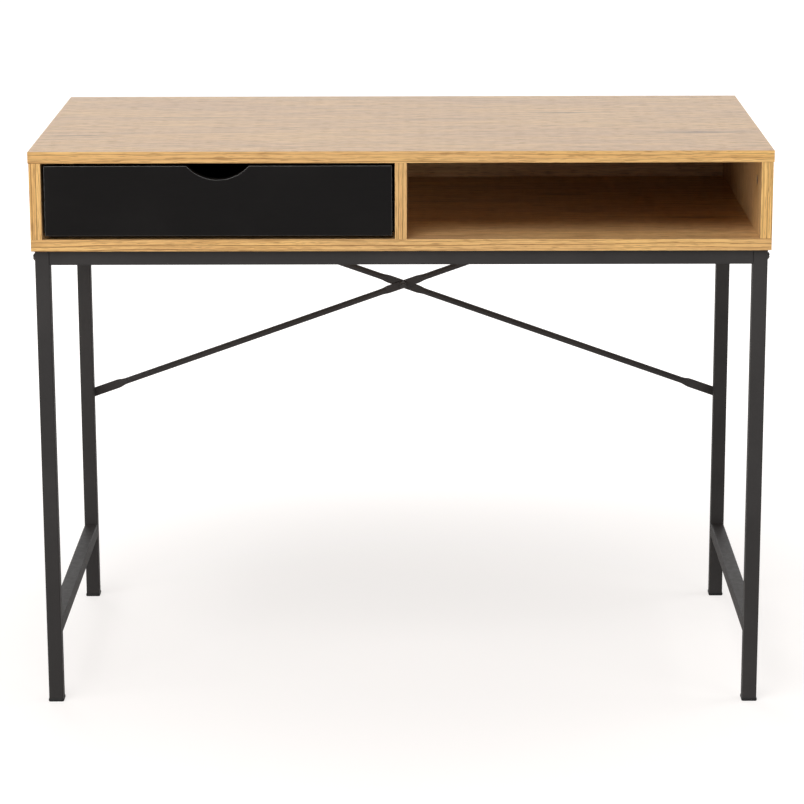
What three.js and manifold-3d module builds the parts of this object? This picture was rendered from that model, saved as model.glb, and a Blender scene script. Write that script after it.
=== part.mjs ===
// Writing desk: an oak-decor box with one inset drawer and one open
// compartment, standing on a square-tube steel frame with a crossed rear brace.
//
// Millimetres. +X is to the right of someone facing the desk, +Y is towards its
// back and +Z is up. The origin is on the floor, under the middle of the top.

import * as THREE from 'three';
import { mergeVertices } from 'three/addons/utils/BufferGeometryUtils.js';
import Module from 'manifold-3d';

// ---------------------------------------------------------------- dimensions

const WIDTH = 1000;
const DEPTH = 500;
const HEIGHT = 780;
const BOARD = 16;                 // thickness of every carcass board
const BOX_HEIGHT = 136;           // top panel, bays and bottom panel together
const TOP_OVERHANG = 1;           // top panel past the side panels

const TUBE = 20;                  // square steel tube, outside
const TUBE_WALL = 1.5;
const TUBE_CORNER = 2;            // outside corner radius
const LEG_INSET_SIDE = 5;         // outer leg face, in from the end of the top
const LEG_INSET_FRONT = 5;
const LEG_INSET_BACK = 8;
const STRETCHER_TOP = 116;        // top face of the low side stretchers
const RAIL_END_PLATE = 3;         // welded plate that takes the rail's bolt

const FOOT_HEIGHT = 4;
const FOOT_RIM = 0.8;             // how far the glide stands proud of the tube
const FOOT_PLUG = 14;             // length pushed up into the tube

const DRAWER_GAP_SIDE = 4;
const DRAWER_GAP_TOP = 4;
const DRAWER_GAP_BOTTOM = 5;
const DRAWER_RECESS = 2;          // drawer face behind the front edges
const DRAWER_LENGTH = 400;        // sides and runners
const DRAWER_SIDE = 12;
const DRAWER_SIDE_HEIGHT = 70;
const DRAWER_LIFT = 10;           // drawer box above the bay floor
const DRAWER_BASE = 3;
const DRAWER_BASE_LIFT = 10;      // base above the lower edge of the sides
const GROOVE_DEPTH = 6;
const GRIP_CHORD = 84;            // half-moon finger cut-out
const GRIP_DEPTH = 19;

const RUNNER_SPACE = 12.5;        // between drawer side and carcass
const STEEL = 1.2;                // runner sheet
const CHANNEL_HEIGHT = 28;
const CHANNEL_FLANGE = 10;
const ROLLER_RADIUS = 10;
const ROLLER_WIDTH = 6;
const AXLE_RADIUS = 2;
const AXLE_HEAD = 3.5;
const AXLE_PLAY = 0.12;           // roller bore to axle
const CHANNEL_LIFT = 20;          // cabinet channel above the bay floor
const CHANNEL_SETBACK = 4;        // cabinet channel behind the drawer front
const LIP_LIFT = 2;               // drawer lip above the cabinet's track
const ROLLER_INSET = 12;          // roller axles, in from the runner ends
const SIDE_PLAY = 0.5;            // roller to the metal on each side of it
const AXLE_SHOULDER = 2.1;        // boss between the drawer runner and its roller
const TAB_LENGTH = 26;            // plate that carries the cabinet roller
const TAB_DROP = 8;               // plate below that roller's axle
const WEB_RISE = 7;               // drawer runner above its roller's axle
const SEAT_WIDTH = 9;             // drawer runner under the drawer side

const BRACE_DIAMETER = 9.5;
const BRACE_FLAT = 2.4;           // thickness where the tube is pressed flat
const BRACE_END_WIDTH = 13.7;
const BRACE_CROSSING_WIDTH = 12.4;
const BRACE_FOOT_Z = 320;         // lower bolt, on the rear leg
const BRACE_HEAD_X = 399;         // upper bolt, on the rear rail
const BRACE_TIP = 8;              // flat metal past each end bolt
const FOOT_FLAT = 49;             // flat from the lower bolt to the round tube
const HEAD_FLAT = 54;             // flat from the upper bolt to the round tube
const CROSSING_FLAT = 23;         // flat on each side of the crossing bolt
const FLAT_TAPER = 12;            // where the tube goes from flat to round

const BOLT_RADIUS = 3;
const BOLT_HEAD_RADIUS = 5.2;
const BOLT_HEAD_HEIGHT = 3.1;
const DRIVE_SLOT = 1.3;           // width of the slots in every bolt head
const RAIL_BOLT_THREAD = 8;       // past the plate in the rail's end
const BRACE_BOLT_LENGTH = 14;
const NUT_WIDTH = 10;
const NUT_HEIGHT = 4.5;
const SCREW_RADIUS = 2;
const SCREW_HEAD_RADIUS = 4.5;
const SCREW_HEAD_HEIGHT = 2.6;
const SCREW_GRIP = 10;            // screw inside the bottom panel
const SCREW_ACCESS_RADIUS = 5.5;  // hole in the rail's lower wall for the driver
const SCREW_X = 300;              // screws in the front and rear rails
const CAM_RADIUS = 7.5;
const CAM_LENGTH = 12;
const CAM_INSET = 50;             // cam centre, in from the front and back edges
const CAM_DROP = 32;              // cam centre below the top panel

const GAP = 0.3;                  // clearance round whatever sits in a hole

// ------------------------------------------------------------ derived places

const FRONT = -DEPTH / 2;
const BACK = DEPTH / 2;
const BOX_BOTTOM = HEIGHT - BOX_HEIGHT;
const BAY_FLOOR = BOX_BOTTOM + BOARD;
const BAY_CEILING = HEIGHT - BOARD;
const CARCASS_X = WIDTH / 2 - TOP_OVERHANG;   // outer faces of the side panels
const BAY_X = CARCASS_X - BOARD;              // inner faces of the side panels

const LEG_X = WIDTH / 2 - LEG_INSET_SIDE - TUBE / 2;
const FRONT_LEG_Y = FRONT + LEG_INSET_FRONT + TUBE / 2;
const BACK_LEG_Y = BACK - LEG_INSET_BACK - TUBE / 2;
const RAIL_Z = BOX_BOTTOM - TUBE / 2;
const FRAME_BACK = BACK_LEG_Y + TUBE / 2;

const DRAWER_X = -(BAY_X + BOARD / 2) / 2;    // middle of the drawer bay
const BAY_HALF = (BAY_X - BOARD / 2) / 2;
const BOX_HALF = BAY_HALF - RUNNER_SPACE;     // half the drawer box, outside
const FACE_Y = FRONT + DRAWER_RECESS;
const BOX_FRONT_Y = FACE_Y + BOARD;
const BOX_BACK_Y = BOX_FRONT_Y + DRAWER_LENGTH;
const SIDE_BOTTOM = BAY_FLOOR + DRAWER_LIFT;
const SIDE_TOP = SIDE_BOTTOM + DRAWER_SIDE_HEIGHT;
const BASE_Z = SIDE_BOTTOM + DRAWER_BASE_LIFT;

// ------------------------------------------------------------------ materials

const finish = (color, roughness, metalness = 0) =>
  new THREE.MeshStandardMaterial({ color, roughness, metalness });

const OAK = finish(0xd4b48a, 0.55);
const BLACK_BOARD = finish(0x211f1f, 0.45);
const BLACK_STEEL = finish(0x3f3c3b, 0.5, 0.3);
const BLACK_ZINC = finish(0x2b2a2a, 0.4, 0.7);
const ZINC = finish(0xb9bcc0, 0.35, 0.9);
const RUNNER_STEEL = finish(0x2b2b2c, 0.4, 0.5);
const BLACK_PLASTIC = finish(0x18181a, 0.6);
const DARK_NYLON = finish(0x2a2a2c, 0.45);

// ------------------------------------------------------------ solid modelling

const wasm = await Module();
wasm.setup();

function toSolid(geometry) {
  const bare = geometry.clone();
  bare.deleteAttribute('normal');
  bare.deleteAttribute('uv');
  const merged = mergeVertices(bare);
  return new wasm.Manifold(new wasm.Mesh({
    numProp: 3,
    vertProperties: merged.attributes.position.array,
    triVerts: new Uint32Array(merged.index.array),
  }));
}

function toGeometry(solid) {
  const mesh = solid.getMesh();
  const geometry = new THREE.BufferGeometry();
  geometry.setAttribute('position', new THREE.BufferAttribute(mesh.vertProperties, 3));
  geometry.setIndex(new THREE.BufferAttribute(mesh.triVerts, 1));
  geometry.computeVertexNormals();
  return geometry;
}

const cut = (geometry, ...tools) =>
  toGeometry(tools.reduce((solid, tool) => solid.subtract(toSolid(tool)), toSolid(geometry)));

const join = (geometry, ...others) =>
  toGeometry(others.reduce((solid, other) => solid.add(toSolid(other)), toSolid(geometry)));

// A box between two opposite corners, given in any order.
function block([ax, ay, az], [bx, by, bz]) {
  const box = new THREE.BoxGeometry(Math.abs(bx - ax), Math.abs(by - ay), Math.abs(bz - az));
  return box.translate((ax + bx) / 2, (ay + by) / 2, (az + bz) / 2);
}

// Turns a shape made along +Z so that its +Z runs along the named axis.
const TURN_TO = {
  '+x': (shape) => shape.rotateY(Math.PI / 2),
  '-x': (shape) => shape.rotateY(-Math.PI / 2),
  '+y': (shape) => shape.rotateX(-Math.PI / 2),
  '-y': (shape) => shape.rotateX(Math.PI / 2),
  '+z': (shape) => shape,
  '-z': (shape) => shape.rotateX(Math.PI),
};

// A cylinder that starts at a point and runs a length along the named axis.
function rod([x, y, z], axis, radius, length, sides = 16) {
  const cylinder = new THREE.CylinderGeometry(radius, radius, length, sides);
  cylinder.rotateX(Math.PI / 2).translate(0, 0, length / 2);
  return TURN_TO[axis](cylinder).translate(x, y, z);
}

// A profile of [radius, height] points turned round the Z axis.
function turned(profile, sides = 16) {
  const points = profile.map(([radius, height]) => new THREE.Vector2(radius, height));
  return new THREE.LatheGeometry(points, sides).rotateX(Math.PI / 2);
}

function roundedSquare(width, radius) {
  const inner = width / 2 - radius;
  const shape = new THREE.Shape();
  shape.absarc(inner, inner, radius, 0, Math.PI / 2);
  shape.absarc(-inner, inner, radius, Math.PI / 2, Math.PI);
  shape.absarc(-inner, -inner, radius, Math.PI, Math.PI * 1.5);
  shape.absarc(inner, -inner, radius, Math.PI * 1.5, Math.PI * 2);
  return shape;
}

function square(width) {
  const half = width / 2;
  return new THREE.Shape([[-half, -half], [half, -half], [half, half], [-half, half]]
    .map(([x, y]) => new THREE.Vector2(x, y)));
}

const extrude = (shape, depth, curveSegments = 2) =>
  new THREE.ExtrudeGeometry(shape, { depth, bevelEnabled: false, curveSegments });

// ---------------------------------------------------------------- scene graph

const desk = new THREE.Group();

function subassembly() {
  const group = new THREE.Group();
  desk.add(group);
  return group;
}

const carcass = subassembly();
const frame = subassembly();
const drawer = subassembly();
const fixings = subassembly();

function place(group, name, geometry, surface, [x, y, z] = [0, 0, 0]) {
  const mesh = new THREE.Mesh(geometry, surface.clone());
  mesh.name = name;
  mesh.position.set(x, y, z);
  group.add(mesh);
  return mesh;
}

const SIDES = [['left', -1], ['right', 1]];
const ENDS = [['front', FRONT_LEG_Y], ['rear', BACK_LEG_Y]];

// -------------------------------------------------------------------- carcass

const CAM_Z = BAY_CEILING - CAM_DROP;
const CAM_PLACES = [['front', FRONT + CAM_INSET], ['rear', BACK - CAM_INSET]];

// The upright boards. Cams are let into each from one face, along inward.
const UPRIGHTS = [
  {
    name: 'left_side_panel', from: -CARCASS_X, to: -BAY_X, back: BACK,
    cams: 'left_side_cam', face: -BAY_X, inward: '-x', outward: '+x',
  },
  {
    name: 'centre_partition', from: -BOARD / 2, to: BOARD / 2, back: BACK - BOARD,
    cams: 'partition_cam', face: -BOARD / 2, inward: '+x', outward: '-x',
  },
  {
    name: 'right_side_panel', from: BAY_X, to: CARCASS_X, back: BACK,
    cams: 'right_side_cam', face: BAY_X, inward: '+x', outward: '-x',
  },
];

const SCREW_PLACES = [
  ['front_left', -SCREW_X, FRONT_LEG_Y],
  ['front_right', SCREW_X, FRONT_LEG_Y],
  ['rear_left', -SCREW_X, BACK_LEG_Y],
  ['rear_right', SCREW_X, BACK_LEG_Y],
  ['side_left', -LEG_X, 0],
  ['side_right', LEG_X, 0],
];

function makeCarcass() {
  place(carcass, 'top_panel',
    block([-WIDTH / 2, FRONT, -BOARD / 2], [WIDTH / 2, BACK, BOARD / 2]),
    OAK, [0, 0, HEIGHT - BOARD / 2]);

  const bottom = block([-CARCASS_X, FRONT, BOX_BOTTOM], [CARCASS_X, BACK, BAY_FLOOR]);
  const screwHoles = SCREW_PLACES.map(([, x, y]) =>
    rod([x, y, BOX_BOTTOM - 1], '+z', SCREW_RADIUS + GAP, SCREW_GRIP + 1 + GAP, 12));
  place(carcass, 'bottom_panel', cut(bottom, ...screwHoles), OAK);

  for (const { name, from, to, back, face, inward } of UPRIGHTS) {
    const board = block([from, FRONT, BAY_FLOOR], [to, back, BAY_CEILING]);
    const pockets = CAM_PLACES.map(([, y]) =>
      rod([face, y, CAM_Z], inward, CAM_RADIUS + GAP, CAM_LENGTH + GAP, 20));
    place(carcass, name, cut(board, ...pockets), OAK);
  }

  place(carcass, 'back_panel',
    block([-BAY_X, -BOARD / 2, 0], [BAY_X, BOARD / 2, BAY_CEILING - BAY_FLOOR]),
    OAK, [0, BACK - BOARD / 2, BAY_FLOOR]);
}

// A cam with a cross slot, its face just below the surface of its board.
function makeCams() {
  const recess = 0.2;
  const slot = { length: 9, width: 1.4, depth: 1.6 };
  const body = rod([0, 0, -CAM_LENGTH], '+z', CAM_RADIUS, CAM_LENGTH, 20);
  const bar = (length, width) =>
    block([-length / 2, -width / 2, -slot.depth], [length / 2, width / 2, 1]);
  const cam = cut(body, bar(slot.length, slot.width), bar(slot.width, slot.length));
  for (const { cams, face, inward, outward } of UPRIGHTS) {
    const x = inward === '+x' ? face + recess : face - recess;
    for (const [end, y] of CAM_PLACES) {
      place(fixings, `${cams}_${end}`, TURN_TO[outward](cam.clone()), ZINC, [x, y, CAM_Z]);
    }
  }
}

// ---------------------------------------------------------------- steel frame

// Square tube with open ends, starting at z = 0.
function squareTube(length) {
  const section = roundedSquare(TUBE, TUBE_CORNER);
  section.holes.push(square(TUBE - 2 * TUBE_WALL));
  return extrude(section, length);
}

const boltHole = (start, axis, length) => rod(start, axis, BOLT_RADIUS + GAP, length, 12);

// Holes for a screw in the upper wall of a rail centred on z = 0, and for the
// driver in its lower wall.
const screwPassage = (x, y) => [
  rod([x, y, 0], '+z', SCREW_RADIUS + GAP, TUBE, 12),
  rod([x, y, -TUBE], '+z', SCREW_ACCESS_RADIUS, TUBE),
];

function makeLegs() {
  const length = BOX_BOTTOM - FOOT_HEIGHT;
  const railHole = boltHole([-TUBE, 0, RAIL_Z - FOOT_HEIGHT], '+x', 2 * TUBE);
  const braceHole = boltHole([0, 0, BRACE_FOOT_Z - FOOT_HEIGHT], '+y', TUBE);
  for (const [side, sign] of SIDES) {
    for (const [end, y] of ENDS) {
      const holes = end === 'rear' ? [railHole, braceHole] : [railHole];
      place(frame, `${end}_${side}_leg`, cut(squareTube(length), ...holes), BLACK_STEEL,
        [sign * LEG_X, y, FOOT_HEIGHT]);
    }
  }
}

// Front and rear rails: hollow, with a bored plate welded into each end.
function makeCrossRails() {
  const length = 2 * LEG_X - TUBE;
  const hollow = length - 2 * RAIL_END_PLATE;
  const alongX = (shape, size) => extrude(shape, size).translate(0, 0, -size / 2).rotateY(Math.PI / 2);
  for (const [end, y] of ENDS) {
    const outside = alongX(roundedSquare(TUBE, TUBE_CORNER), length);
    const inside = alongX(square(TUBE - 2 * TUBE_WALL), hollow);
    const holes = [boltHole([-LEG_X, 0, 0], '+x', 2 * LEG_X)];
    for (const [, x] of SCREW_PLACES.filter(([label]) => label.startsWith(end))) {
      holes.push(...screwPassage(x, 0));
    }
    if (end === 'rear') {
      holes.push(boltHole([-BRACE_HEAD_X, 0, 0], '+y', TUBE));
      holes.push(boltHole([BRACE_HEAD_X, 0, 0], '+y', TUBE));
    }
    place(frame, `${end}_rail`, cut(outside, inside, ...holes), BLACK_STEEL, [0, y, RAIL_Z]);
  }
}

// Top rails and low stretchers of the two side frames, butted between the legs.
function makeSideRails() {
  const start = FRONT_LEG_Y + TUBE / 2;
  const length = BACK_LEG_Y - FRONT_LEG_Y - TUBE;
  const tube = squareTube(length).rotateX(-Math.PI / 2);
  const topRail = cut(tube, ...screwPassage(0, -start));
  for (const [side, sign] of SIDES) {
    const x = sign * LEG_X;
    place(frame, `${side}_top_rail`, topRail, BLACK_STEEL, [x, start, RAIL_Z]);
    place(frame, `${side}_stretcher`, tube, BLACK_STEEL, [x, start, STRETCHER_TOP - TUBE / 2]);
  }
}

// Plastic glide: a chamfered pad on the floor with a plug up inside the tube.
function makeFeet() {
  const chamfer = 0.6;
  const width = TUBE + 2 * FOOT_RIM;
  const pad = new THREE.ExtrudeGeometry(roundedSquare(width - 2 * chamfer, TUBE_CORNER), {
    depth: FOOT_HEIGHT - 2 * chamfer,
    curveSegments: 1,
    bevelThickness: chamfer,
    bevelSize: chamfer,
    bevelSegments: 1,
  }).translate(0, 0, chamfer);
  const bore = TUBE - 2 * TUBE_WALL - 2 * GAP;
  const plug = block([-bore / 2, -bore / 2, 1], [bore / 2, bore / 2, FOOT_HEIGHT + FOOT_PLUG]);
  const foot = join(pad, plug);
  for (const [side, sign] of SIDES) {
    for (const [end, y] of ENDS) {
      place(frame, `${end}_${side}_foot`, foot, BLACK_PLASTIC, [sign * LEG_X, y, 0]);
    }
  }
}

// --------------------------------------------------------------- rear X-brace

const BRACE_RISE = (RAIL_Z - BRACE_FOOT_Z) / (LEG_X + BRACE_HEAD_X);
const BRACE_ANGLE = Math.atan(BRACE_RISE);
const CROSSING_Z = BRACE_FOOT_Z + LEG_X * BRACE_RISE;
const FLAT_MIDDLE = FRAME_BACK + BRACE_FLAT / 2;     // pressed ends, on the frame

// Closed skin over rings of equal point count, each ring further along +X.
function loft(rings) {
  const size = rings[0].length;
  const last = (rings.length - 1) * size;
  const faces = [];
  for (let ring = 0; ring < last; ring += size) {
    for (let i = 0; i < size; i += 1) {
      const a = ring + i;
      const b = ring + ((i + 1) % size);
      faces.push(a, a + size, b + size, a, b + size, b);
    }
  }
  for (let i = 1; i + 1 < size; i += 1) {
    faces.push(0, i, i + 1, last, last + i + 1, last + i);
  }
  const geometry = new THREE.BufferGeometry();
  geometry.setAttribute('position', new THREE.Float32BufferAttribute(rings.flat(2), 3));
  geometry.setIndex(faces);
  return geometry;
}

// Section of the pressed tube: round where width and thickness are alike, and
// flat-sided with round edges elsewhere.
function braceRing(along, middle, width, thickness) {
  const arcPoints = 6;
  const lastAngle = Math.PI / 2 - Math.PI / (2 * arcPoints);
  const ring = [];
  for (let i = 0; i < 2 * arcPoints; i += 1) {
    const edge = i < arcPoints ? 1 : -1;
    const angle = ((i + 0.5) / arcPoints - 0.5) * Math.PI;
    ring.push([
      along,
      middle + (Math.sin(angle) / Math.sin(lastAngle)) * (thickness / 2),
      edge * (width - thickness) / 2 + Math.cos(angle) * (thickness / 2),
    ]);
  }
  return ring;
}

// Rings where the tube goes from flat to round, starting at the flat.
function taperRings(start, direction, middle, flatWidth) {
  const steps = 3;
  const rings = [];
  for (let i = 0; i <= steps; i += 1) {
    const blend = THREE.MathUtils.smoothstep(i, 0, steps);
    rings.push(braceRing(
      start + direction * FLAT_TAPER * (i / steps), middle,
      THREE.MathUtils.lerp(flatWidth, BRACE_DIAMETER, blend),
      THREE.MathUtils.lerp(BRACE_FLAT, BRACE_DIAMETER, blend),
    ));
  }
  return rings;
}

// Rings of the rounded tip, from its point to its full width.
function tipRings(tip, direction, middle) {
  const steps = 3;
  const radius = BRACE_END_WIDTH / 2;
  const rings = [];
  for (let i = 1; i <= steps; i += 1) {
    const angle = (i / steps) * (Math.PI / 2);
    rings.push(braceRing(tip - direction * radius * Math.cos(angle) + direction * radius,
      middle, Math.max(BRACE_END_WIDTH * Math.sin(angle), BRACE_FLAT), BRACE_FLAT));
  }
  return rings;
}

// A brace along +X with its crossing at x = 0, its lower bolt at -X and its
// upper bolt at +X. Its crossing lies at its own depth, clear of the other one.
function braceGeometry(crossingMiddle) {
  const foot = -LEG_X / Math.cos(BRACE_ANGLE);
  const head = BRACE_HEAD_X / Math.cos(BRACE_ANGLE);
  const outward = (start, middle, width) => taperRings(start, 1, middle, width);
  const inward = (start, middle, width) => taperRings(start, -1, middle, width).reverse();
  const body = loft([
    ...tipRings(foot - BRACE_TIP, 1, FLAT_MIDDLE),
    ...outward(foot + FOOT_FLAT, FLAT_MIDDLE, BRACE_END_WIDTH),
    ...inward(-CROSSING_FLAT, crossingMiddle, BRACE_CROSSING_WIDTH),
    ...outward(CROSSING_FLAT, crossingMiddle, BRACE_CROSSING_WIDTH),
    ...inward(head - HEAD_FLAT, FLAT_MIDDLE, BRACE_END_WIDTH),
    ...tipRings(head + BRACE_TIP, -1, FLAT_MIDDLE).reverse(),
  ]);
  return cut(body, ...[foot, 0, head].map((x) => boltHole([x, FRAME_BACK - TUBE, 0], '+y', 2 * TUBE)));
}

function makeBraces() {
  const inner = place(frame, 'inner_brace', braceGeometry(FRAME_BACK), BLACK_STEEL, [0, 0, CROSSING_Z]);
  inner.rotation.y = -BRACE_ANGLE;
  const outer = place(frame, 'outer_brace', braceGeometry(FRAME_BACK + BRACE_FLAT), BLACK_STEEL,
    [0, 0, CROSSING_Z]);
  outer.rotation.y = BRACE_ANGLE - Math.PI;
}

// ---------------------------------------------------------------------- bolts

// Pan-head bolt with its head above z = 0 and its shank below. One slot of the
// cross runs right across the head, along Y.
function panBolt(length) {
  const chamfer = 0.6;
  const body = turned([
    [0, -length],
    [BOLT_RADIUS - chamfer, -length],
    [BOLT_RADIUS, chamfer - length],
    [BOLT_RADIUS, 0],
    [BOLT_HEAD_RADIUS, 0],
    [BOLT_HEAD_RADIUS, 0.2 * BOLT_HEAD_HEIGHT],
    [0.83 * BOLT_HEAD_RADIUS, 0.72 * BOLT_HEAD_HEIGHT],
    [0.52 * BOLT_HEAD_RADIUS, BOLT_HEAD_HEIGHT],
    [0, BOLT_HEAD_HEIGHT],
  ]);
  const slotDepth = 1.3;
  const slot = (lengthX, lengthY) => block(
    [-lengthX / 2, -lengthY / 2, BOLT_HEAD_HEIGHT - slotDepth],
    [lengthX / 2, lengthY / 2, BOLT_HEAD_HEIGHT + 1],
  );
  return cut(body, slot(DRIVE_SLOT, 3 * BOLT_HEAD_RADIUS), slot(BOLT_HEAD_RADIUS, DRIVE_SLOT));
}

function makeBolts() {
  const railBolt = panBolt(TUBE + RAIL_END_PLATE + RAIL_BOLT_THREAD);
  const braceBolt = panBolt(BRACE_BOLT_LENGTH);
  const onFrame = FRAME_BACK + BRACE_FLAT;
  for (const [side, sign] of SIDES) {
    const outward = sign > 0 ? '+x' : '-x';
    for (const [end, y] of ENDS) {
      place(fixings, `${end}_${side}_rail_bolt`, TURN_TO[outward](railBolt.clone()), BLACK_ZINC,
        [sign * (LEG_X + TUBE / 2), y, RAIL_Z]);
    }
    place(fixings, `brace_leg_bolt_${side}`, TURN_TO['+y'](braceBolt.clone()), BLACK_ZINC,
      [sign * LEG_X, onFrame, BRACE_FOOT_Z]);
    place(fixings, `brace_rail_bolt_${side}`, TURN_TO['+y'](braceBolt.clone()), BLACK_ZINC,
      [sign * BRACE_HEAD_X, onFrame, RAIL_Z]);
  }

  const crossingFront = FRAME_BACK - BRACE_FLAT / 2;
  const crossingBack = crossingFront + 2 * BRACE_FLAT;
  const crossingBolt = panBolt(2 * BRACE_FLAT + NUT_HEIGHT + 1);
  place(fixings, 'crossing_bolt', TURN_TO['+y'](crossingBolt), BLACK_ZINC, [0, crossingBack, CROSSING_Z]);
  const hexagon = rod([0, 0, 0], '-y', NUT_WIDTH / 2 / Math.cos(Math.PI / 6), NUT_HEIGHT, 6);
  const nut = cut(hexagon, rod([0, 1, 0], '-y', BOLT_RADIUS + GAP, NUT_HEIGHT + 2, 16));
  place(fixings, 'crossing_nut', nut, BLACK_ZINC, [0, crossingFront, CROSSING_Z]);
}

// Screws up through the upper walls of the rails into the bottom panel. Their
// heads sit inside the rails, above the driver holes.
function makeScrews() {
  const length = TUBE_WALL + SCREW_GRIP;
  const point = 3;
  const slot = { length: 4.8, width: 1, depth: 1.4 };
  const body = turned([
    [0, -SCREW_HEAD_HEIGHT],
    [0.6 * SCREW_HEAD_RADIUS, -SCREW_HEAD_HEIGHT],
    [SCREW_HEAD_RADIUS, -0.4 * SCREW_HEAD_HEIGHT],
    [SCREW_HEAD_RADIUS, 0],
    [SCREW_RADIUS, 0],
    [SCREW_RADIUS, length - point],
    [0, length],
  ], 12);
  const screw = cut(body, block(
    [-slot.length / 2, -slot.width / 2, -SCREW_HEAD_HEIGHT - 1],
    [slot.length / 2, slot.width / 2, slot.depth - SCREW_HEAD_HEIGHT],
  ));
  for (const [label, x, y] of SCREW_PLACES) {
    place(fixings, `box_screw_${label}`, screw, BLACK_ZINC, [x, y, BOX_BOTTOM - TUBE_WALL]);
  }
}

// --------------------------------------------------------------------- drawer

const BOX_INSIDE = BOX_HALF - DRAWER_SIDE;    // half the drawer box, inside

// Front board, cut away at the middle of its top edge by a circular arc.
function makeDrawerFront() {
  const half = BAY_HALF - DRAWER_GAP_SIDE;
  const bottom = BAY_FLOOR + DRAWER_GAP_BOTTOM;
  const height = BAY_CEILING - DRAWER_GAP_TOP - bottom;
  const radius = ((GRIP_CHORD / 2) ** 2 + GRIP_DEPTH ** 2) / (2 * GRIP_DEPTH);
  const rise = radius - GRIP_DEPTH;
  const arcStart = Math.atan2(-rise, GRIP_CHORD / 2);
  const outline = new THREE.Shape();
  outline.moveTo(-half, 0);
  outline.lineTo(half, 0);
  outline.lineTo(half, height);
  outline.absarc(0, height + rise, radius, arcStart, -Math.PI - arcStart, true);
  outline.lineTo(-half, height);
  const board = extrude(outline, BOARD, 14).rotateX(Math.PI / 2);
  const groove = block(
    [-BOX_INSIDE - GROOVE_DEPTH - GAP, -GROOVE_DEPTH - GAP, BASE_Z - bottom - GAP],
    [BOX_INSIDE + GROOVE_DEPTH + GAP, 1, BASE_Z - bottom + DRAWER_BASE + GAP],
  );
  place(drawer, 'drawer_front', cut(board, groove), BLACK_BOARD, [DRAWER_X, BOX_FRONT_Y, bottom]);
}

function makeDrawerBox() {
  const origin = [DRAWER_X, BOX_FRONT_Y, SIDE_BOTTOM];
  const baseLow = DRAWER_BASE_LIFT;
  const baseHigh = DRAWER_BASE_LIFT + DRAWER_BASE;
  for (const [side, sign] of SIDES) {
    const board = block([sign * BOX_INSIDE, 0, 0], [sign * BOX_HALF, DRAWER_LENGTH, DRAWER_SIDE_HEIGHT]);
    const groove = block(
      [sign * (BOX_INSIDE - 1), -1, baseLow - GAP],
      [sign * (BOX_INSIDE + GROOVE_DEPTH + GAP), DRAWER_LENGTH + 1, baseHigh + GAP],
    );
    place(drawer, `drawer_${side}_side`, cut(board, groove), BLACK_BOARD, origin);
  }
  place(drawer, 'drawer_back', block(
    [-BOX_INSIDE, DRAWER_LENGTH - DRAWER_SIDE, baseHigh + GAP],
    [BOX_INSIDE, DRAWER_LENGTH, DRAWER_SIDE_HEIGHT],
  ), BLACK_BOARD, origin);
  place(drawer, 'drawer_base', block(
    [-BOX_INSIDE - GROOVE_DEPTH, -GROOVE_DEPTH, baseLow],
    [BOX_INSIDE + GROOVE_DEPTH, DRAWER_LENGTH, baseHigh],
  ), BLACK_BOARD, origin);
}

// -------------------------------------------------------------- roller slides

const CHANNEL_BOTTOM = BAY_FLOOR + CHANNEL_LIFT;
const CHANNEL_FRONT = BOX_FRONT_Y + CHANNEL_SETBACK;
const TRACK_Z = CHANNEL_BOTTOM + STEEL;       // the drawer's roller runs on this
const RAIL_LIP_Z = TRACK_Z + LIP_LIFT;        // this runs on the cabinet's roller
const CABINET_ROLLER = [CHANNEL_FRONT + ROLLER_INSET, RAIL_LIP_Z - ROLLER_RADIUS];
const DRAWER_ROLLER = [BOX_BACK_Y - ROLLER_INSET, TRACK_Z + ROLLER_RADIUS];

// Stub axle from one depth across the gap to another, ending in a rivet head.
function stubAxle(sign, from, to, [y, z]) {
  const headThickness = 0.6;
  const axis = sign * Math.sign(to - from) > 0 ? '+x' : '-x';
  const headStart = to - Math.sign(to - from) * headThickness;
  return join(
    rod([sign * from, y, z], axis, AXLE_RADIUS, Math.abs(to - from)),
    rod([sign * headStart, y, z], axis, AXLE_HEAD, headThickness),
  );
}

// Channel screwed to the carcass, with a tab at its front for a fixed roller.
function cabinetRunner(sign) {
  const wall = sign * BAY_HALF;
  const web = sign * (BAY_HALF - STEEL);
  const lip = sign * (BAY_HALF - CHANNEL_FLANGE);
  const top = CHANNEL_BOTTOM + CHANNEL_HEIGHT;
  const start = CHANNEL_FRONT;
  const end = start + DRAWER_LENGTH;
  const tabEnd = start + TAB_LENGTH;
  const tabLow = CABINET_ROLLER[1] - TAB_DROP;
  const axleStart = BAY_HALF - STEEL / 2;
  const axleEnd = BAY_HALF - STEEL - ROLLER_WIDTH - 3 * SIDE_PLAY;
  return join(
    block([web, start, CHANNEL_BOTTOM], [wall, end, top]),
    block([lip, start, top - STEEL], [wall, end, top]),
    block([lip, tabEnd + GAP, CHANNEL_BOTTOM], [wall, end, TRACK_Z]),
    block([web, start, tabLow], [wall, tabEnd, TRACK_Z]),
    stubAxle(sign, axleStart, axleEnd, CABINET_ROLLER),
  );
}

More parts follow.
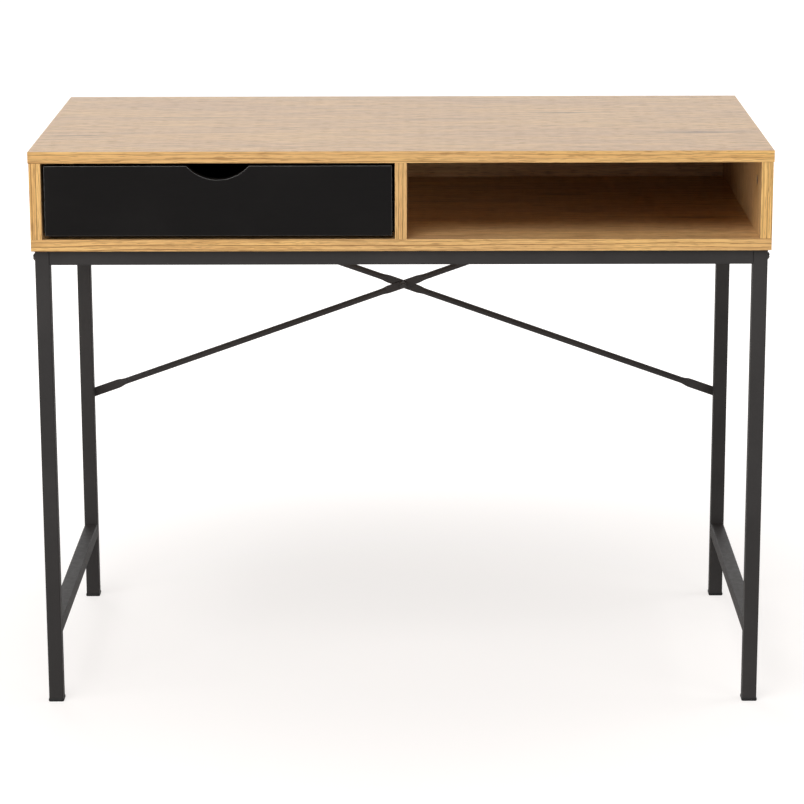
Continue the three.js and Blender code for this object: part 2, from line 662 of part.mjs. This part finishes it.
// Angle screwed under the drawer side, with a lip that runs on the fixed roller.
function drawerRunner(sign) {
  const side = sign * BOX_HALF;
  const outer = sign * (BOX_HALF + STEEL);
  const seat = sign * (BOX_HALF - SEAT_WIDTH);
  const lip = sign * (BAY_HALF - STEEL - 2 * SIDE_PLAY);
  const low = SIDE_BOTTOM - STEEL;
  const start = BOX_FRONT_Y + 1;
  const [rollerY, rollerZ] = DRAWER_ROLLER;
  const lipEnd = rollerY - ROLLER_RADIUS - LIP_LIFT;
  const shoulderStart = BOX_HALF + STEEL / 2;
  const rollerInner = BOX_HALF + STEEL + AXLE_SHOULDER + SIDE_PLAY;
  return join(
    block([side, start, low], [outer, BOX_BACK_Y, rollerZ + WEB_RISE]),
    block([seat, start, low], [outer, BOX_BACK_Y, SIDE_BOTTOM]),
    block([side, start, RAIL_LIP_Z], [lip, lipEnd, RAIL_LIP_Z + STEEL]),
    rod([sign * shoulderStart, rollerY, rollerZ], sign > 0 ? '+x' : '-x', AXLE_HEAD,
      AXLE_SHOULDER + STEEL / 2),
    stubAxle(sign, BOX_HALF + STEEL, rollerInner + ROLLER_WIDTH + 2 * SIDE_PLAY, DRAWER_ROLLER),
  );
}

function makeSlides() {
  const bore = AXLE_RADIUS + AXLE_PLAY;
  const tread = ROLLER_RADIUS - GAP;
  const half = ROLLER_WIDTH / 2;
  const edge = 0.6;
  const roller = turned([
    [bore, -half],
    [tread - edge, -half],
    [tread, edge - half],
    [tread, half - edge],
    [tread - edge, half],
    [bore, half],
    [bore, -half],
  ], 18).rotateY(Math.PI / 2);
  const fixedX = BAY_HALF - STEEL - SIDE_PLAY - half;
  const movingX = BOX_HALF + STEEL + AXLE_SHOULDER + SIDE_PLAY + half;
  for (const [side, sign] of SIDES) {
    place(fixings, `cabinet_runner_${side}`, cabinetRunner(sign), RUNNER_STEEL, [DRAWER_X, 0, 0]);
    place(drawer, `drawer_runner_${side}`, drawerRunner(sign), RUNNER_STEEL, [DRAWER_X, 0, 0]);
    place(fixings, `cabinet_roller_${side}`, roller, DARK_NYLON,
      [DRAWER_X + sign * fixedX, ...CABINET_ROLLER]);
    place(drawer, `drawer_roller_${side}`, roller, DARK_NYLON,
      [DRAWER_X + sign * movingX, ...DRAWER_ROLLER]);
  }
}

makeCarcass();
makeCams();
makeLegs();
makeCrossRails();
makeSideRails();
makeFeet();
makeBraces();
makeBolts();
makeScrews();
makeDrawerFront();
makeDrawerBox();
makeSlides();

export default desk;
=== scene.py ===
import math

import bpy
from mathutils import Euler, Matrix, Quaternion, Vector


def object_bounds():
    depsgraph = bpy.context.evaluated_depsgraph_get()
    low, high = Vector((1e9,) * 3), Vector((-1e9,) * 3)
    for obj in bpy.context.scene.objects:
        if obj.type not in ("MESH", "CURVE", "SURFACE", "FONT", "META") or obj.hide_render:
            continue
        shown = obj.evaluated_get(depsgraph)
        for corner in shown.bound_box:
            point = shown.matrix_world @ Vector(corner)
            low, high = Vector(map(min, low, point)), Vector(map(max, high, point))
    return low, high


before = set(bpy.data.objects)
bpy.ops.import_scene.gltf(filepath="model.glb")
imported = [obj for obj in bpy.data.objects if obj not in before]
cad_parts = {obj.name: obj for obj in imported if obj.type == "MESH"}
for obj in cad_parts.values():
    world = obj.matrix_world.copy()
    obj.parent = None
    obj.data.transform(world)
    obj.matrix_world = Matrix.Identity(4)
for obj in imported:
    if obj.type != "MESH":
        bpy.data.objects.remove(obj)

CAD_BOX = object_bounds()             # the CAD model's lowest and highest corners
MM = 0.001
X = 0
Y = 1
Z = 2

# Dark figures in the oak of the top: (x, y, half length, half width, depth of shade)
KNOTS = (
    (-0.445, -0.115, 0.065, 0.008, 0.90),
    (-0.30, 0.045, 0.130, 0.006, 0.60),
    (0.235, 0.085, 0.060, 0.010, 0.80),
    (0.415, -0.095, 0.090, 0.012, 0.95),
    (0.06, 0.030, 0.120, 0.006, 0.55),
    (-0.09, -0.200, 0.050, 0.005, 0.50),
)

# Base colours, linear RGB
OAK_LIGHT = (0.85, 0.56, 0.245, 1)
OAK_MID = (0.66, 0.375, 0.140, 1)
OAK_ROSE = (0.60, 0.365, 0.195, 1)
OAK_DARK = (0.23, 0.105, 0.034, 1)
OAK_PORE = (0.20, 0.09, 0.03, 1)
OAK_KNOT = (0.27, 0.15, 0.075, 1)
FACE_TINT = (0.935, 0.925, 0.93)
# Painted light: the banded edges are made brighter and warmer than the faces of the same oak
EDGE_TINT_PAINTED_LIGHT = (1.17, 1.14, 0.93)
BLACK_BOARD = (0.0069, 0.0061, 0.0060, 1)
BLACK_BOARD_WORN = (0.0095, 0.0085, 0.0083, 1)
# Painted highlight for the drawer front's rounded edges
BLACK_BOARD_PAINTED_HIGHLIGHT = (0.26, 0.26, 0.255, 1)
DRAWER_BOX = (0.013, 0.0122, 0.012, 1)
DRAWER_BOX_WORN = (0.021, 0.0198, 0.0194, 1)
ANTHRACITE = (0.034, 0.0313, 0.0303, 1)
ANTHRACITE_PALE = (0.044, 0.0406, 0.0394, 1)
# The braces' coat is the frame's anthracite made lighter: painted light for the shade they stand in under
# the desk
BRACE_COAT_PAINTED_LIGHTER = (0.043, 0.039, 0.038, 1)
BRACE_COAT_PALE_PAINTED_LIGHTER = (0.055, 0.050, 0.048, 1)
BLACK_ZINC = (0.16, 0.15, 0.145, 1)
BLACK_ZINC_DULL = (0.07, 0.066, 0.064, 1)
BRIGHT_ZINC = (0.74, 0.73, 0.70, 1)
DULL_ZINC = (0.42, 0.41, 0.38, 1)
RUNNER_PAINT = (0.017, 0.0165, 0.0165, 1)
RUNNER_PAINT_DULL = (0.026, 0.025, 0.0245, 1)
NYLON = (0.023, 0.0225, 0.0225, 1)
GLIDE = (0.015, 0.015, 0.015, 1)
FLOOR_TINT = (1.0, 0.974, 0.957, 1)

# Oak figure on the boards' faces and on their banded edges. Lengths are metres, scales are per
# metre, and depths are shares of full strength.
FACE_RINGS = {"width": 0.019, "sway": 6.0, "sway_scale": 1.2, "start": 0.55}
FACE_FIGURE = {"ring_depth": 0.20, "streak_scale": 230}
FACE_CHANGE = 9                   # how quickly the figure changes from one face to the other
EDGE_RINGS = {"width": 0.0058, "sway": 2.2, "sway_scale": 3.2, "start": 0.76}
EDGE_FIGURE = {"ring_depth": 0.9, "streak_scale": 520, "fleck_depth": 0.26}
EDGE_SLICE = 0.37                 # where the edges' noise is sliced
FLECKS = 0.26
FLECKS_LYING = 0.50

# Rounded edges
WELD_DISTANCE = 0.002 * MM
FLAT_WITHIN = math.radians(0.5)   # facets this close in angle become one face
SHARP_FROM = math.radians(32)
ROUNDED_FROM = math.radians(40)


# ---------------------------------------------------------------- node helpers


class Finish:
    """A material built from nodes. Coordinates are metres in the desk's frame at rest."""

    def __init__(self, name):
        self.material = bpy.data.materials.new(name)
        self.material.use_nodes = True
        self.tree = self.material.node_tree
        self.tree.nodes.clear()
        self.shader = self.tree.nodes.new("ShaderNodeBsdfPrincipled")
        output = self.tree.nodes.new("ShaderNodeOutputMaterial")
        self.tree.links.new(self.shader.outputs["BSDF"], output.inputs["Surface"])
        place = self.tree.nodes.new("ShaderNodeTexCoord")
        self.point = place.outputs["Object"]
        self.normal = place.outputs["Normal"]

    def give(self, socket, value):
        """Sets a socket to a number or colour, or links it to another node's output."""
        if isinstance(value, bpy.types.NodeSocket):
            self.tree.links.new(value, socket)
        else:
            socket.default_value = value

    def set(self, **values):
        """Gives values to the shader's own sockets, with _ for each space in a name."""
        for name, value in values.items():
            self.give(self.shader.inputs[name.replace("_", " ")], value)

    def math(self, operation, a, b=0.0, c=0.0):
        """One Math node."""
        node = self.tree.nodes.new("ShaderNodeMath")
        node.operation = operation
        for socket, value in zip(node.inputs, (a, b, c)):
            self.give(socket, value)
        return node.outputs[0]

    def parts(self, vector):
        """The X, Y and Z of a vector."""
        node = self.tree.nodes.new("ShaderNodeSeparateXYZ")
        self.give(node.inputs[0], vector)
        return node.outputs

    def join(self, x, y, z):
        """A vector from three numbers."""
        node = self.tree.nodes.new("ShaderNodeCombineXYZ")
        for socket, value in zip(node.inputs, (x, y, z)):
            self.give(socket, value)
        return node.outputs[0]

    def place(self, along, along_scale, across, across_scale, deep):
        """A point for a grained texture: long features along the grain, narrow across it."""
        return self.join(
            self.math("MULTIPLY", along, along_scale), self.math("MULTIPLY", across, across_scale), deep)

    def stretch(self, vector, factors):
        """A vector times a different number on each axis."""
        node = self.tree.nodes.new("ShaderNodeVectorMath")
        node.operation = "MULTIPLY"
        self.give(node.inputs[0], vector)
        node.inputs[1].default_value = factors
        return node.outputs[0]

    def noise(self, vector, scale=1.0, detail=2.0, roughness=0.5):
        """Noise from 0 to 1, about 0.5."""
        node = self.tree.nodes.new("ShaderNodeTexNoise")
        self.give(node.inputs["Vector"], vector)
        node.inputs["Scale"].default_value = scale
        node.inputs["Detail"].default_value = detail
        node.inputs["Roughness"].default_value = roughness
        return node.outputs["Fac"]

    def range(self, value, low, high, to_low=0.0, to_high=1.0):
        """Maps low..high to to_low..to_high, held at both ends and eased between."""
        node = self.tree.nodes.new("ShaderNodeMapRange")
        node.interpolation_type = "SMOOTHSTEP"
        for socket, number in zip(node.inputs, (value, low, high, to_low, to_high)):
            self.give(socket, number)
        return node.outputs["Result"]

    def blend(self, factor, a, b):
        """Colour a where factor is 0 and b where it is 1."""
        node = self.tree.nodes.new("ShaderNodeMix")
        node.data_type = "RGBA"
        self.give(node.inputs[0], factor)
        self.give(node.inputs[6], a)
        self.give(node.inputs[7], b)
        return node.outputs[2]

    def choose(self, factor, a, b):
        """Number a where factor is 0 and b where it is 1."""
        node = self.tree.nodes.new("ShaderNodeMix")
        node.data_type = "FLOAT"
        self.give(node.inputs[0], factor)
        self.give(node.inputs[2], a)
        self.give(node.inputs[3], b)
        return node.outputs[0]

    def bump(self, height, depth):
        """A normal from a height of 0 to 1 that stands for depth metres."""
        node = self.tree.nodes.new("ShaderNodeBump")
        node.inputs["Distance"].default_value = depth
        self.give(node.inputs["Height"], height)
        return node.outputs["Normal"]


# ---------------------------------------------------------------- materials


def growth_rings(finish, along, across, deep, width, sway, sway_scale, start):
    """Dark late-wood lines every width metres, which wander sideways by about sway lines. A line
    takes up the share of the width after start."""
    slow = finish.place(along, sway_scale, across, 6 * sway_scale, deep)
    quick = finish.place(along, 9, across, 60, deep)
    turns = finish.math("MULTIPLY_ADD", finish.noise(slow, detail=2, roughness=0.45), sway,
                       finish.math("MULTIPLY", across, 1 / width))
    turns = finish.math("MULTIPLY_ADD", finish.noise(quick, detail=3), 0.5, turns)
    ring = finish.math("FRACT", turns)
    line = finish.math("MAXIMUM", finish.range(ring, start, 0.97), finish.range(ring, 0.0, 0.06, 1.0, 0.0))
    uneven = finish.noise(finish.place(along, 3, across, 130, deep), detail=2)
    return finish.math("MULTIPLY", line, finish.range(uneven, 0.30, 0.58, 0.35, 1.0))


def oak_figure(finish, along, across, deep, rings, ring_depth, streak_scale, fleck_depth):
    """Oak decor over a surface: streaks, pores, broad tone and growth rings. Returns its colour
    and its height."""
    streaks = finish.noise(finish.place(along, 5, across, streak_scale, deep), detail=4, roughness=0.62)
    pores = finish.range(finish.noise(finish.place(along, 52, across, 1150, deep), detail=1), 0.56, 0.66)
    broad = finish.noise(finish.place(along, 2.2, across, 16, deep), detail=3, roughness=0.55)
    flecks = finish.noise(finish.place(along, 22, across, 250, deep), detail=3, roughness=0.6)
    tone = finish.blend(finish.range(streaks, 0.33, 0.68), OAK_LIGHT, OAK_MID)
    tone = finish.blend(finish.range(broad, 0.36, 0.66, 0.1, 0.65), tone, OAK_ROSE)
    tone = finish.blend(finish.range(flecks, 0.47, 0.68, 0.0, fleck_depth), tone, OAK_DARK)
    tone = finish.blend(finish.math("MULTIPLY", rings, ring_depth), tone, OAK_DARK)
    tone = finish.blend(finish.math("MULTIPLY", pores, 0.50), tone, OAK_PORE)
    height = finish.math("MULTIPLY_ADD", pores, -0.7, finish.math("MULTIPLY", streaks, 0.3))
    return tone, height


def knot_shade(finish, along, across, deep, knots):
    """How dark the knots are, 0 to 1. Each knot is (along, across, half length, half width, depth)."""
    ragged = finish.noise(finish.place(along, 26, across, 150, deep), detail=4, roughness=0.6)
    shade = 0.0
    for middle, offset, length, width, depth in knots:
        u = finish.math("MULTIPLY", finish.math("SUBTRACT", along, middle), 1 / length)
        v = finish.math("MULTIPLY", finish.math("SUBTRACT", across, offset), 1 / width)
        reach = finish.math("SQRT", finish.math("MULTIPLY_ADD", u, u, finish.math("MULTIPLY", v, v)))
        reach = finish.math("MULTIPLY_ADD", ragged, 1.5, reach)
        shade = finish.math("MAXIMUM", shade, finish.range(reach, 0.75, 1.75, depth, 0.0))
    return shade


def oak_board(name, thickness, face, edge, end=None, knots=(), fleck_depth=FLECKS):
    """A board faced in oak decor with banded edges. thickness is the axis through the board;
    face, edge and end are (grain axis, axis across the grain) on its faces, long edges and ends."""
    finish = Finish(name)
    point = finish.parts(finish.point)
    facing = [finish.math("ABSOLUTE", part) for part in finish.parts(finish.normal)]
    on_edge = finish.range(facing[thickness], 0.6, 0.8, 1.0, 0.0)

    along, across = point[face[0]], point[face[1]]
    deep = finish.math("MULTIPLY", point[thickness], FACE_CHANGE)
    rings = growth_rings(finish, along, across, deep, **FACE_RINGS)
    face_tone, face_height = oak_figure(
        finish, along, across, deep, rings, fleck_depth=fleck_depth, **FACE_FIGURE)
    if knots:
        shade = knot_shade(finish, along, across, deep, knots)
        face_tone = finish.blend(shade, face_tone, OAK_KNOT)
    face_tone = finish.stretch(face_tone, FACE_TINT)

    along, across = point[edge[0]], point[edge[1]]
    if end:
        on_end = finish.math("GREATER_THAN", facing[edge[0]], 0.7)
        along = finish.choose(on_end, along, point[end[0]])
        across = finish.choose(on_end, across, point[end[1]])
    rings = growth_rings(finish, along, across, EDGE_SLICE, **EDGE_RINGS)
    edge_tone, edge_height = oak_figure(finish, along, across, EDGE_SLICE, rings, **EDGE_FIGURE)
    # Painted light: the banded edges' colour is lifted above the faces' so that they look more brightly
    # lit
    edge_tone = finish.stretch(edge_tone, EDGE_TINT_PAINTED_LIGHT)

    height = finish.choose(on_edge, face_height, edge_height)
    finish.set(
        Base_Color=finish.blend(on_edge, face_tone, edge_tone),
        Roughness=finish.range(height, -0.5, 0.3, 0.46, 0.32),
        Normal=finish.bump(height, 0.05 * MM),
        IOR=1.5,
    )
    return finish.material


def black_board(name, clean, worn, rounded=None):
    """Board in a matt black foil, with a faint pressed grain. rounded is the axis through the board; its
    rounded edges get a painted highlight, a pale grey mixed into their colour that makes them lighter than
    its faces."""
    finish = Finish(name)
    pressed = finish.noise(finish.stretch(finish.point, (60, 700, 900)), detail=3)
    smudge = finish.noise(finish.point, 9, detail=3)
    tone = finish.blend(finish.range(smudge, 0.4, 0.75), clean, worn)
    tone = finish.blend(finish.range(pressed, 0.45, 0.75, 0.0, 0.35), tone, worn)
    if rounded is not None:
        # Painted highlight: the rounded edges, between the faces and the sides, are lightened towards a
        # pale grey
        facing = finish.math("ABSOLUTE", finish.parts(finish.normal)[rounded])
        off_face = finish.range(facing, 0.75, 0.99, 1.0, 0.0)
        off_side = finish.range(facing, 0.05, 0.35)
        painted_highlight = finish.math("MULTIPLY", off_face, off_side)
        tone = finish.blend(painted_highlight, tone, BLACK_BOARD_PAINTED_HIGHLIGHT)
    finish.set(
        Base_Color=tone,
        Roughness=finish.range(finish.noise(finish.point, 30, detail=4), 0.3, 0.7, 0.40, 0.52),
        Normal=finish.bump(pressed, 0.04 * MM),
        Specular_IOR_Level=0.16,
    )
    return finish.material


def powder_coat(name, tone, pale):
    """Anthracite powder coat: a fine orange peel and a slightly uneven tone."""
    finish = Finish(name)
    peel = finish.noise(finish.point, 1100, detail=2)
    speck = finish.noise(finish.point, 2600, detail=1)
    uneven = finish.noise(finish.point, 7, detail=4)
    height = finish.math("MULTIPLY_ADD", speck, 0.4, peel)
    finish.set(
        Base_Color=finish.blend(finish.range(uneven, 0.35, 0.7), tone, pale),
        Roughness=finish.range(finish.noise(finish.point, 160, detail=3), 0.3, 0.7, 0.48, 0.56),
        Normal=finish.bump(height, 0.05 * MM),
        Specular_IOR_Level=0.32,
    )
    return finish.material


def metal(name, bright, dull, roughness, spot_size):
    """Plated or bare metal with cloudy patches and fine scratches."""
    finish = Finish(name)
    cloudy = finish.noise(finish.point, 1 / spot_size, detail=4)
    scratch = finish.noise(finish.stretch(finish.point, (400, 3000, 400)), detail=2)
    finish.set(
        Base_Color=finish.blend(finish.range(cloudy, 0.35, 0.7), bright, dull),
        Metallic=1.0,
        Roughness=finish.range(cloudy, 0.3, 0.75, roughness - 0.07, roughness + 0.10),
        Normal=finish.bump(scratch, 0.01 * MM),
    )
    return finish.material


def painted_steel():
    """Black lacquered runner steel."""
    finish = Finish("runner_paint")
    uneven = finish.noise(finish.point, 12, detail=4)
    peel = finish.noise(finish.point, 900, detail=2)
    finish.set(
        Base_Color=finish.blend(finish.range(uneven, 0.35, 0.7), RUNNER_PAINT, RUNNER_PAINT_DULL),
        Roughness=finish.range(uneven, 0.3, 0.7, 0.30, 0.42),
        Normal=finish.bump(peel, 0.03 * MM),
    )
    return finish.material


def plastic(name, colour, roughness):
    """Moulded plastic with a fine spark-eroded grain."""
    finish = Finish(name)
    grain = finish.noise(finish.point, 1500, detail=2)
    uneven = finish.noise(finish.point, 60, detail=2)
    darker = tuple(0.82 * part for part in colour[:3]) + (1,)
    finish.set(
        Base_Color=finish.blend(finish.range(uneven, 0.3, 0.7), colour, darker),
        Roughness=finish.range(uneven, 0.3, 0.7, roughness - 0.05, roughness + 0.05),
        Normal=finish.bump(grain, 0.03 * MM),
    )
    return finish.material


# ---------------------------------------------------------------- rounded edges


def smooth_by_angle():
    """A modifier's node group that shades a mesh smooth but keeps its sharper edges."""
    group = bpy.data.node_groups.new("smooth_by_angle", "GeometryNodeTree")
    group.interface.new_socket("Geometry", in_out="INPUT", socket_type="NodeSocketGeometry")
    group.interface.new_socket("Geometry", in_out="OUTPUT", socket_type="NodeSocketGeometry")
    add = group.nodes.new
    link = group.links.new
    start = add("NodeGroupInput")
    end = add("NodeGroupOutput")
    faces = add("GeometryNodeSetShadeSmooth")
    edges = add("GeometryNodeSetShadeSmooth")
    edges.domain = "EDGE"
    angle = add("GeometryNodeInputMeshEdgeAngle")
    compare = add("FunctionNodeCompare")
    compare.operation = "LESS_THAN"
    compare.inputs["B"].default_value = SHARP_FROM
    link(start.outputs[0], faces.inputs["Geometry"])
    link(faces.outputs[0], edges.inputs["Geometry"])
    link(angle.outputs["Unsigned Angle"], compare.inputs["A"])
    link(compare.outputs[0], edges.inputs["Shade Smooth"])
    link(edges.outputs[0], end.inputs[0])
    return group


SMOOTH = smooth_by_angle()


def soften(node, rounding, segments):
    """Rounds a CAD node's edges by a radius in metres, without touching its own mesh."""
    weld = node.modifiers.new("weld", "WELD")
    weld.merge_threshold = WELD_DISTANCE
    flat = node.modifiers.new("flat", "DECIMATE")
    flat.decimate_type = "DISSOLVE"
    flat.angle_limit = FLAT_WITHIN
    if rounding:
        bevel = node.modifiers.new("bevel", "BEVEL")
        bevel.width = rounding
        bevel.segments = segments
        bevel.limit_method = "ANGLE"
        bevel.angle_limit = ROUNDED_FROM
        bevel.use_clamp_overlap = True
        bevel.miter_outer = "MITER_ARC"
    smooth = node.modifiers.new("smooth", "NODES")
    smooth.node_group = SMOOTH
    even = node.modifiers.new("even", "WEIGHTED_NORMAL")
    even.weight = 100
    even.keep_sharp = True


def dress(names, material, rounding, segments=2):
    """Gives CAD nodes a material and rounded edges."""
    for name in names:
        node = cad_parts[name]
        node.data.materials.clear()
        node.data.materials.append(material)
        soften(node, rounding, segments)


def named(*parts):
    """The CAD nodes whose names hold one of these parts."""
    return [name for name in sorted(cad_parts) if any(part in name for part in parts)]


def dress_boards():
    """The carcass and the drawer."""
    lying = oak_board("oak_lying", Z, face=(X, Y), edge=(X, Z), end=(Y, Z), knots=KNOTS,
                      fleck_depth=FLECKS_LYING)
    dress(["top_panel", "bottom_panel"], lying, rounding=0.6 * MM)
    standing = oak_board("oak_standing", X, face=(Z, Y), edge=(Z, X))
    dress(["left_side_panel", "right_side_panel", "centre_partition"], standing, rounding=0.6 * MM)
    dress(["back_panel"], oak_board("oak_back", Y, face=(X, Z), edge=(X, Y)), rounding=0.4 * MM)
    front = black_board("drawer_front_foil", BLACK_BOARD, BLACK_BOARD_WORN, rounded=Y)
    dress(["drawer_front"], front, rounding=0.9 * MM, segments=3)
    drawer_box = black_board("drawer_box_foil", DRAWER_BOX, DRAWER_BOX_WORN)
    dress(["drawer_left_side", "drawer_right_side", "drawer_back", "drawer_base"], drawer_box,
          rounding=0.4 * MM)


def dress_frame():
    """The steel frame, its braces and its glides."""
    frame_coat = powder_coat("frame_coat", ANTHRACITE, ANTHRACITE_PALE)
    dress(named("left_leg", "right_leg", "front_rail", "rear_rail", "top_rail", "stretcher"),
          frame_coat, rounding=0.6 * MM)
    # Painted light: the braces get a lighter copy of the frame's coat for the shade they stand in under
    # the desk
    brace_coat_painted_lighter = powder_coat("brace_coat_painted_lighter", BRACE_COAT_PAINTED_LIGHTER, BRACE_COAT_PALE_PAINTED_LIGHTER)
    dress(["inner_brace", "outer_brace"], brace_coat_painted_lighter, rounding=0)
    dress(named("_foot"), plastic("glide_plastic", GLIDE, roughness=0.48), rounding=0.4 * MM)


def dress_fittings():
    """Fasteners, cam fittings, runners and rollers."""
    black_zinc = metal("black_zinc", BLACK_ZINC, BLACK_ZINC_DULL, roughness=0.42, spot_size=3 * MM)
    dress(named("bolt", "nut", "box_screw"), black_zinc, rounding=0.25 * MM)
    bright_zinc = metal("bright_zinc", BRIGHT_ZINC, DULL_ZINC, roughness=0.50, spot_size=2 * MM)
    dress(named("_cam_"), bright_zinc, rounding=0.25 * MM)
    dress(named("runner"), painted_steel(), rounding=0.2 * MM)
    dress(named("_roller_"), plastic("roller_nylon", NYLON, roughness=0.42), rounding=0.4 * MM)


# ---------------------------------------------------------------- studio

FLOOR_REACH = 30                  # metres from the middle to each edge
FLOOR_DIFFUSE = 0.36
FLOOR_ROUGHNESS = 0.85
# Painted shade: the floor's glow is dimmer under and around the desk than far from it
FLOOR_GLOW = 0.60                 # glow under the desk
FLOOR_GLOW_FAR = 1.03             # glow far from it
GLOW_RISE = (0.1, 1.6)            # metres out over which the glow rises
FLOOR_BOUNCE = 0.25               # share of the glow that lights the desk

SKY_LOW = 0.03                    # light from the level and from below
SKY_HIGH = 0.26                   # light from straight above
SKY_SEEN = 1.02
WHITE = (1, 1, 1, 1)

BOX_RISE = 0.25                   # a point low in the oak box, above the middle of the desk

CAMERA_AT = Vector((25.4, -4054.2, 1417.8)) * MM
CAMERA_PITCH = 0.23075            # radians down from level
CAMERA_YAW = 0.00642
CAMERA_ROLL = -0.00323
CAMERA_SENSOR = 36                # millimetres, as is the lens
CAMERA_LENS = 128.96
CAMERA_SHIFT = -0.08


def make_floor():
    """A pale floor that the desk stands on. Its glow is dimmer near the desk, a painted shade around it,
    and brighter further out so that it fades into the backdrop.
    """
    low = CAD_BOX[0].z
    around = ((-1, -1), (1, -1), (1, 1), (-1, 1))
    corners = [(x * FLOOR_REACH, y * FLOOR_REACH, low) for x, y in around]
    mesh = bpy.data.meshes.new("floor")
    mesh.from_pydata(corners, [], [range(len(corners))])
    floor = bpy.data.objects.new("floor", mesh)
    bpy.context.scene.collection.objects.link(floor)
    finish = Finish("pale_floor")
    x, y, _ = finish.parts(finish.point)
    away = finish.math("SQRT", finish.math("MULTIPLY_ADD", x, x, finish.math("MULTIPLY", y, y)))
    glow = finish.range(away, *GLOW_RISE, FLOOR_GLOW, FLOOR_GLOW_FAR)
    seen = finish.tree.nodes.new("ShaderNodeLightPath").outputs["Is Camera Ray"]
    finish.set(
        Base_Color=tuple(FLOOR_DIFFUSE * part for part in FLOOR_TINT[:3]) + (1,),
        Roughness=FLOOR_ROUGHNESS,
        Specular_IOR_Level=0.0,
        Emission_Color=FLOOR_TINT,
        Emission_Strength=finish.math("MULTIPLY", glow, finish.range(seen, 0, 1, FLOOR_BOUNCE, 1)),
    )
    mesh.materials.append(finish.material)


def make_backdrop():
    """A white surround, softly brighter overhead; the camera sees it as plain white."""
    world = bpy.data.worlds.new("studio")
    bpy.context.scene.world = world
    world.use_nodes = True
    tree = world.node_tree
    tree.nodes.clear()
    add = tree.nodes.new
    link = tree.links.new

    place = add("ShaderNodeTexCoord")
    parts = add("ShaderNodeSeparateXYZ")
    link(place.outputs["Generated"], parts.inputs[0])
    ramp = add("ShaderNodeMapRange")
    ramp.inputs["To Min"].default_value = SKY_LOW
    ramp.inputs["To Max"].default_value = SKY_HIGH
    link(parts.outputs["Z"], ramp.inputs["Value"])

    lit = add("ShaderNodeBackground")
    lit.inputs["Color"].default_value = WHITE
    link(ramp.outputs["Result"], lit.inputs["Strength"])
    seen = add("ShaderNodeBackground")
    seen.inputs["Color"].default_value = WHITE
    seen.inputs["Strength"].default_value = SKY_SEEN

    path = add("ShaderNodeLightPath")
    mix = add("ShaderNodeMixShader")
    link(path.outputs["Is Camera Ray"], mix.inputs[0])
    link(lit.outputs[0], mix.inputs[1])
    link(seen.outputs[0], mix.inputs[2])
    out = add("ShaderNodeOutputWorld")
    link(mix.outputs[0], out.inputs["Surface"])


def add_softbox(name, at, aim, size, power, mirrored=True):
    """A rectangular soft light at one point, aimed at another. size is its width and height in
    metres and power is in watts. Glossy surfaces show it only if it is mirrored."""
    light = bpy.data.lights.new(name, "AREA")
    light.shape = "RECTANGLE"
    light.size, light.size_y = size
    light.energy = power
    box = bpy.data.objects.new(name, light)
    box.location = at
    box.rotation_mode = "QUATERNION"
    box.rotation_quaternion = (Vector(aim) - Vector(at)).to_track_quat("-Z", "Y")
    box.visible_glossy = mirrored
    bpy.context.scene.collection.objects.link(box)


def make_lights():
    """A key high in front, low fills in front and at both sides, fills for the back and the right
    end, and a long soft wall of light behind that the top reflects."""
    middle = (CAD_BOX[0] + CAD_BOX[1]) / 2
    box = Vector((0, 0, middle.z + BOX_RISE))
    add_softbox("key", (-0.9, -2.4, 3.6), middle, size=(2.4, 1.8), power=92)
    add_softbox("low_fill", (0, -3.2, 0.9), box, size=(3.0, 0.8), power=3)
    add_softbox("left_fill", (-3.2, -1.8, 0.85), box, size=(1.6, 1.0), power=44, mirrored=False)
    add_softbox("right_fill", (2.5, -2.3, 1.0), box, size=(1.6, 1.0), power=22, mirrored=False)
    add_softbox("rear_fill", (-1.2, 3.2, 2.2), middle, size=(2.4, 1.8), power=34, mirrored=False)
    add_softbox("side_fill", (3.0, 0.4, 1.7), middle, size=(1.8, 1.8), power=30, mirrored=False)
    add_softbox("rear_wall", (0, 5, 1.9), middle, size=(7, 3), power=80)


def make_camera():
    """The photograph's viewing angle: straight from the front and a little from above."""
    data = bpy.data.cameras.new("camera")
    data.sensor_width = CAMERA_SENSOR
    data.lens = CAMERA_LENS
    data.shift_y = CAMERA_SHIFT
    camera = bpy.data.objects.new("camera", data)
    camera.location = CAMERA_AT
    aim = Euler((math.pi / 2 - CAMERA_PITCH, 0, CAMERA_YAW)).to_quaternion()
    camera.rotation_mode = "QUATERNION"
    camera.rotation_quaternion = aim @ Quaternion((0, 0, 1), CAMERA_ROLL)
    bpy.context.scene.collection.objects.link(camera)
    bpy.context.scene.camera = camera


dress_boards()
dress_frame()
dress_fittings()
make_floor()
make_backdrop()
make_lights()
make_camera()
bpy.context.scene.view_settings.view_transform = "Standard"
